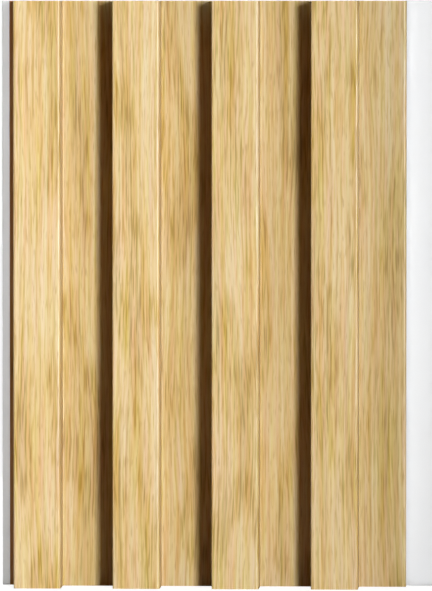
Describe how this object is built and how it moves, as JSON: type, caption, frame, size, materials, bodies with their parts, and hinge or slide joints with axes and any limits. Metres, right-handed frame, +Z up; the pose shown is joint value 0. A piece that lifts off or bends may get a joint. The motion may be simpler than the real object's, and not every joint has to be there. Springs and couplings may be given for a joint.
{
  "type": "slat wall panel",
  "caption": "Slat wall panel: a hollow white extrusion with square slats, wrapped in light-oak print film, with a fixing flange on one edge and a tongue on the other.",
  "frame": {"origin": "on the wall plane, at the middle of the width that one panel covers and of its cut length", "axes": "+Z up along the slats, +X across them towards the fixing flange, +Y into the wall; the slat fronts face -Y"},
  "size_m": [0.1757, 0.024, 0.237],
  "materials": {
    "foamed_pvc": "white foamed PVC with wood fibre, extruded, sawn at both ends",
    "oak_print_film": "satin printed light-oak film, wrapped"
  },
  "bodies": {
    "root": {"extruded_profile": "foamed_pvc", "decor_film": "oak_print_film"}
  },
  "joints": []
}
